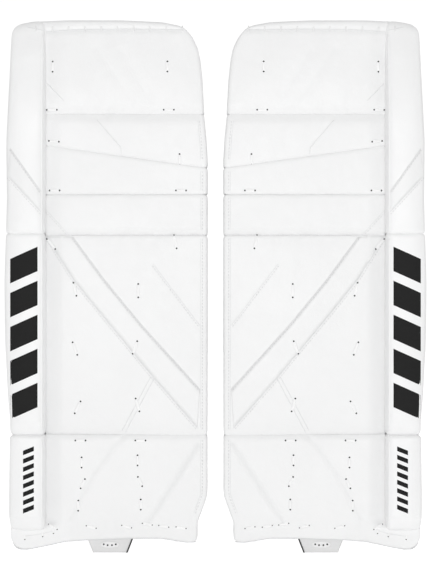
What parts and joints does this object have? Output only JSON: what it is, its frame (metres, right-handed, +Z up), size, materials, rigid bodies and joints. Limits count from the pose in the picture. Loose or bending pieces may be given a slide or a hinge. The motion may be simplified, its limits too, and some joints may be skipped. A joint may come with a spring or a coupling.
{
  "type": "goalie leg pads",
  "caption": "Pair of white padded ice hockey goalie leg pads with flexing boot, shin, knee and thigh sections, leg wings and closing straps.",
  "frame": {"origin": "on the floor, under the middle of the pair", "axes": "+Z up the leg, -Y the way the faces look, +X from the right-leg pad to the left-leg pad"},
  "size_m": [0.586, 0.19, 0.741],
  "materials": {
    "padded_face": "white synthetic leather over closed-cell foam, fine grain, satin",
    "wing_cover": "white synthetic leather over foam, stitched edges",
    "block_cover": "white synthetic leather over closed-cell foam",
    "channel_lining": "charcoal brushed knit over thin foam",
    "strap_band": "black woven elastic webbing with a hook-and-loop end",
    "white_lace": "white braided lace",
    "grey_plastic": "light grey moulded plastic, satin",
    "stiffening_sheet": "natural polyethylene sheet",
    "black_print": "black screen print on the leather"
  },
  "bodies": {
    "right_boot": {"boot_core_right": "padded_face", "boot_outer_roll_right": "padded_face", "boot_liner_right": "channel_lining", "toe_bridge_right": "grey_plastic", "boot_lacing_right": "white_lace", "boot_wing_outer_right": "wing_cover", "boot_wing_inner_right": "wing_cover"},
    "right_boot_band": {"boot_strap_right": "strap_band"},
    "right_shin": {"shin_core_right": "padded_face", "shin_stiffener_right": "stiffening_sheet", "shin_outer_roll_right": "padded_face", "shin_liner_right": "channel_lining", "shin_lacing_right": "white_lace", "calf_wing_inner_right": "wing_cover"},
    "right_calf_wing": {"calf_wing_outer_right": "wing_cover"},
    "right_calf_band_lower": {"calf_strap_lower_right": "strap_band"},
    "right_calf_band_upper": {"calf_strap_upper_right": "strap_band"},
    "right_knee": {"knee_roll_lower_right": "padded_face", "knee_roll_middle_right": "padded_face", "knee_roll_upper_right": "padded_face", "knee_outer_roll_right": "padded_face", "knee_block_right": "block_cover", "knee_cradle_right": "channel_lining", "knee_wing_right": "wing_cover", "knee_lacing_right": "white_lace"},
    "right_knee_band": {"knee_strap_right": "strap_band"},
    "right_thigh": {"thigh_core_right": "padded_face", "thigh_outer_roll_right": "padded_face", "thigh_liner_right": "channel_lining", "thigh_lacing_right": "white_lace"},
    "left_boot": {"boot_core_left": "padded_face", "boot_outer_roll_left": "padded_face", "boot_liner_left": "channel_lining", "toe_bridge_left": "grey_plastic", "boot_lacing_left": "white_lace", "boot_wing_outer_left": "wing_cover", "boot_wing_inner_left": "wing_cover"},
    "left_boot_band": {"boot_strap_left": "strap_band"},
    "left_shin": {"shin_core_left": "padded_face", "shin_stiffener_left": "stiffening_sheet", "shin_outer_roll_left": "padded_face", "shin_liner_left": "channel_lining", "shin_lacing_left": "white_lace", "calf_wing_inner_left": "wing_cover"},
    "left_calf_wing": {"calf_wing_outer_left": "wing_cover"},
    "left_calf_band_lower": {"calf_strap_lower_left": "strap_band"},
    "left_calf_band_upper": {"calf_strap_upper_left": "strap_band"},
    "left_knee": {"knee_roll_lower_left": "padded_face", "knee_roll_middle_left": "padded_face", "knee_roll_upper_left": "padded_face", "knee_outer_roll_left": "padded_face", "knee_block_left": "block_cover", "knee_cradle_left": "channel_lining", "knee_wing_left": "wing_cover", "knee_lacing_left": "white_lace"},
    "left_knee_band": {"knee_strap_left": "strap_band"},
    "left_thigh": {"thigh_core_left": "padded_face", "thigh_outer_roll_left": "padded_face", "thigh_liner_left": "channel_lining", "thigh_lacing_left": "white_lace"}
  },
  "joints": [
    {"name": "right_boot_flex", "type": "hinge", "parent": "right_shin", "child": "right_boot", "pos_m": [-0.152, -0.062, 0.165], "axis": [1, 0, 0], "range_deg": [-29, 9.5], "stiffness_Nm_per_rad": 40},
    {"name": "right_knee_flex", "type": "hinge", "parent": "right_shin", "child": "right_knee", "pos_m": [-0.152, -0.062, 0.445], "axis": [1, 0, 0], "range_deg": [-19.5, 9.5], "stiffness_Nm_per_rad": 25},
    {"name": "right_thigh_flex", "type": "hinge", "parent": "right_knee", "child": "right_thigh", "pos_m": [-0.152, -0.062, 0.612], "axis": [1, 0, 0], "range_deg": [-19.5, 9.5], "stiffness_Nm_per_rad": 12},
    {"name": "right_calf_wing_open", "type": "hinge", "parent": "right_shin", "child": "right_calf_wing", "pos_m": [-0.234, -0.024, 0.3], "axis": [0, 0, 1], "range_deg": [0, 70], "stiffness_Nm_per_rad": 1.5},
    {"name": "right_boot_strap_peel", "type": "hinge", "parent": "right_boot", "child": "right_boot_band", "pos_m": [-0.234, 0.08725, 0.111], "axis": [0, 0, 1], "range_deg": [0, 150]},
    {"name": "right_calf_strap_lower_peel", "type": "hinge", "parent": "right_calf_wing", "child": "right_calf_band_lower", "pos_m": [-0.234, 0.09325, 0.241], "axis": [0, 0, 1], "range_deg": [0, 150]},
    {"name": "right_calf_strap_upper_peel", "type": "hinge", "parent": "right_calf_wing", "child": "right_calf_band_upper", "pos_m": [-0.234, 0.09325, 0.359], "axis": [0, 0, 1], "range_deg": [0, 150]},
    {"name": "right_knee_strap_peel", "type": "hinge", "parent": "right_knee", "child": "right_knee_band", "pos_m": [-0.238, 0.06425, 0.533], "axis": [0, 0, 1], "range_deg": [0, 150]},
    {"name": "left_boot_flex", "type": "hinge", "parent": "left_shin", "child": "left_boot", "pos_m": [0.152, -0.062, 0.165], "axis": [1, 0, 0], "range_deg": [-29, 9.5], "stiffness_Nm_per_rad": 40},
    {"name": "left_knee_flex", "type": "hinge", "parent": "left_shin", "child": "left_knee", "pos_m": [0.152, -0.062, 0.445], "axis": [1, 0, 0], "range_deg": [-19.5, 9.5], "stiffness_Nm_per_rad": 25},
    {"name": "left_thigh_flex", "type": "hinge", "parent": "left_knee", "child": "left_thigh", "pos_m": [0.152, -0.062, 0.612], "axis": [1, 0, 0], "range_deg": [-19.5, 9.5], "stiffness_Nm_per_rad": 12},
    {"name": "left_calf_wing_open", "type": "hinge", "parent": "left_shin", "child": "left_calf_wing", "pos_m": [0.234, -0.024, 0.3], "axis": [0, 0, -1], "range_deg": [0, 70], "stiffness_Nm_per_rad": 1.5},
    {"name": "left_boot_strap_peel", "type": "hinge", "parent": "left_boot", "child": "left_boot_band", "pos_m": [0.234, 0.08725, 0.111], "axis": [0, 0, -1], "range_deg": [0, 150]},
    {"name": "left_calf_strap_lower_peel", "type": "hinge", "parent": "left_calf_wing", "child": "left_calf_band_lower", "pos_m": [0.234, 0.09325, 0.241], "axis": [0, 0, -1], "range_deg": [0, 150]},
    {"name": "left_calf_strap_upper_peel", "type": "hinge", "parent": "left_calf_wing", "child": "left_calf_band_upper", "pos_m": [0.234, 0.09325, 0.359], "axis": [0, 0, -1], "range_deg": [0, 150]},
    {"name": "left_knee_strap_peel", "type": "hinge", "parent": "left_knee", "child": "left_knee_band", "pos_m": [0.238, 0.06425, 0.533], "axis": [0, 0, -1], "range_deg": [0, 150]},
    {"name": "pads_apart", "type": "slide", "parent": "right_shin", "child": "left_shin", "axis": [1, 0, 0], "range_m": [0, 0.4]}
  ]
}
